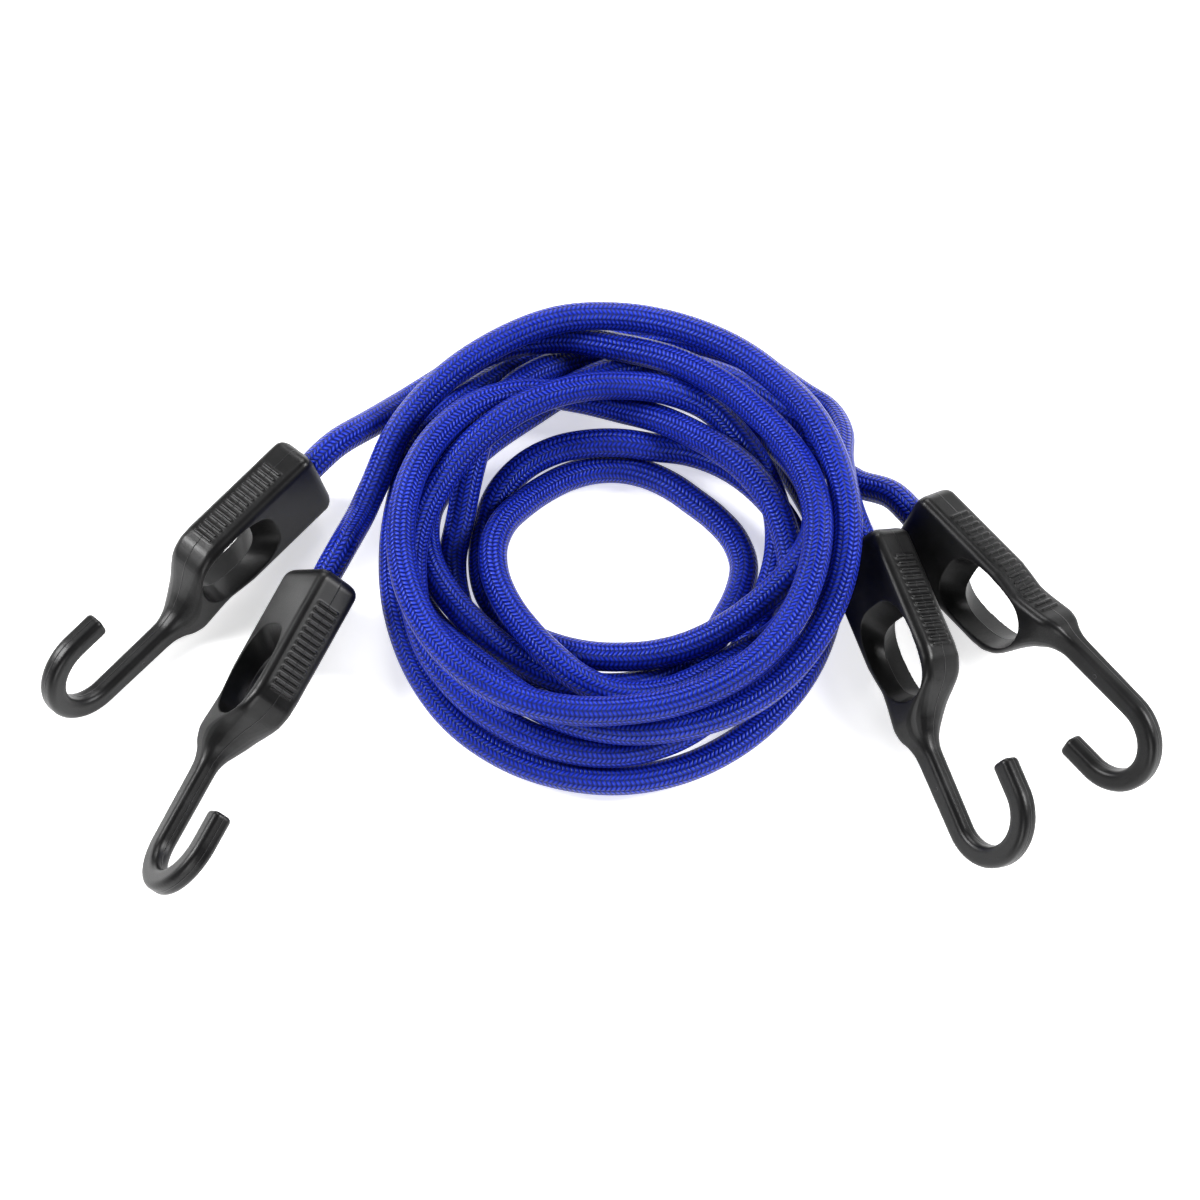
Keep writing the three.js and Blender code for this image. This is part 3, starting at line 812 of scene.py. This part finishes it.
def steel_material():
    """Plated crimp ring with fine scratches round it."""
    n = Nodes("crimped_steel")
    marks = n.noise(n.position(), scale=1500, detail=4.0, roughness=0.7)
    colour = n.ramp(marks, [(0.3, (0.42, 0.43, 0.45)), (0.7, (0.62, 0.63, 0.65))])
    n.link(colour, n.shader.inputs["Base Color"])
    n.shader.inputs["Metallic"].default_value = 1
    n.shader.inputs["Roughness"].default_value = 0.34
    n.link(n.bump(marks, strength=0.2, distance=0.05 * MM), n.shader.inputs["Normal"])
    return n.material


def latex_material():
    """Bundle of pale latex strands, seen at the cut end of the cord."""
    n = Nodes("latex_core")
    cells = n.node("ShaderNodeTexVoronoi")
    cells.inputs["Scale"].default_value = 1100
    n.link(n.position(), cells.inputs["Vector"])
    strands = cells.outputs["Distance"]
    colour = n.ramp(strands, [(0.0, (0.74, 0.63, 0.42)), (0.7, (0.46, 0.36, 0.2))])
    n.link(colour, n.shader.inputs["Base Color"])
    n.shader.inputs["Roughness"].default_value = 0.6
    n.link(n.bump(strands, strength=0.6, distance=0.2 * MM), n.shader.inputs["Normal"])
    return n.material


def floor_material():
    """White and matt, with a little light of its own, so that shadows stay faint."""
    n = Nodes("floor")
    n.shader.inputs["Base Color"].default_value = (0.95, 0.95, 0.95, 1)
    n.shader.inputs["Roughness"].default_value = 0.9
    n.shader.inputs["Specular IOR Level"].default_value = 0.1
    n.shader.inputs["Emission Color"].default_value = (1, 1, 1, 1)
    n.shader.inputs["Emission Strength"].default_value = FLOOR_GLOW
    return n.material


# Pieces

def dress(piece, material):
    piece.data.materials.clear()
    piece.data.materials.append(material)


def add_cord(letter, first_tail, last_tail, material):
    """One whole cord: a tail, its turns and the other tail, with the braid running on through all three."""
    line = coil_line(letter)
    before = tail_line(line[0], unit(line[0] - line[1]), first_tail)[::-1]
    after = tail_line(line[-1], unit(line[-1] - line[-2]), last_tail)
    whole = evenly(np.concatenate([before[:-1], line, after[1:]]), RING_STEP)
    places = np.arange(len(whole)) * RING_STEP
    from_end = np.minimum(places, places[-1] - places)
    radius = np.interp(from_end, [MOUTH_LENGTH, 2 * MOUTH_LENGTH], [HELD_DIAMETER / 2, BRAID_DIAMETER / 2])
    last = len(whole) - 1
    first_cut = round(max(length_of(before), SHORTEST_TAIL) / RING_STEP)
    last_cut = last - round(max(length_of(after), SHORTEST_TAIL) / RING_STEP)
    stretches = [
        (f"tail_{first_tail}", first_tail, 0, first_cut),
        (f"coil_{letter}", None, first_cut, last_cut),
        (f"tail_{last_tail}", last_tail, last_cut, last),
    ]
    for name, hook_number, start, end in stretches:
        stretch = whole[start:end + 1]
        piece = tube(f"{name}_braid", stretch, start * RING_STEP, radius[start:end + 1])
        dress(piece, material)
        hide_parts(name)
        if hook_number is None:
            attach(piece, "coils")
        else:
            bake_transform(piece)


def add_cord_end(number, material):
    """The crimped end inside the socket: necked under the ring and flared past it."""
    start = MOUTH_LENGTH - CORD_END_OVERLAP
    line = np.array([(along, 0, 0) for along in np.linspace(start, CORD_END, CORD_END_RINGS)])
    ring_end = RING_START + RING_LENGTH
    full = CORD_DIAMETER / 2 - CORD_END_SLACK
    neck = CRIMP_NECK / 2
    flare = CORD_END_FLARE / 2
    profile = [
        (MOUTH_LENGTH, full),
        (RING_START + NECK_RUN, neck),
        (ring_end - NECK_RUN, neck),
        (ring_end + FLARE_RUN, flare),
        (CORD_END - CHAMFER_RUN, flare),
        (CORD_END, flare * CHAMFER_SHARE),
    ]
    end = tube(f"cord_end_braid_{number}", line, 0, np.interp(line[:, 0], *zip(*profile)))
    with mesh_work(end) as work:
        bmesh.ops.holes_fill(work, edges=[edge for edge in work.edges if edge.is_boundary])
    end.data.transform(HOOK_MATRICES[number])
    dress(end, material)
    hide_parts(f"cord_end_{number}")
    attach(end, f"end_{number}")


def add_hook(number, shape, material):
    piece = bpy.data.objects.new(f"grip_hook_{number}", shape if number == 1 else shape.copy())
    bpy.context.collection.objects.link(piece)
    piece.matrix_world = HOOK_MATRICES[number]
    dress(piece, material)
    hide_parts(f"hook_{number}")
    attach(piece, f"grip_{number}")


def dress_node(name, material):
    """Gives a CAD node that stays in view its material."""
    for slot in bpy.data.objects[name].material_slots:
        slot.material = material


def add_floor():
    corners = [(-FLOOR_REACH, -FLOOR_REACH, 0), (FLOOR_REACH, -FLOOR_REACH, 0),
               (FLOOR_REACH, FLOOR_REACH, 0), (-FLOOR_REACH, FLOOR_REACH, 0)]
    floor = mesh_object("floor", corners, [(0, 1, 2, 3)])
    floor.data.materials.append(floor_material())


def add_area_light(name, place, size, power):
    light = bpy.data.lights.new(name, "AREA")
    light.size = size
    light.energy = power
    lamp = bpy.data.objects.new(name, light)
    bpy.context.collection.objects.link(lamp)
    lamp.location = place
    lamp.rotation_euler = (Vector(LIGHT_AIM) - Vector(place)).to_track_quat("-Z", "Y").to_euler()


def add_world():
    world = bpy.data.worlds.new("studio")
    world.use_nodes = True
    background = world.node_tree.nodes["Background"]
    background.inputs["Color"].default_value = (1, 1, 1, 1)
    background.inputs["Strength"].default_value = WORLD_STRENGTH
    bpy.context.scene.world = world


add_camera()
braid = braid_material()
add_cord("a", 4, 1, braid)
add_cord("b", 2, 3, braid)

plastic = plastic_material()
steel = steel_material()
latex = latex_material()
hook_shape = hook_mesh()
for hook_number in HOOK_MATRICES:
    add_hook(hook_number, hook_shape, plastic)
    add_cord_end(hook_number, braid)
    dress_node(f"ferrule_{hook_number}", steel)
    dress_node(f"core_{hook_number}", latex)

add_floor()
add_world()
for light_name, light_settings in LIGHTS.items():
    add_area_light(light_name, *light_settings)
bpy.context.scene.view_settings.view_transform = "Standard"
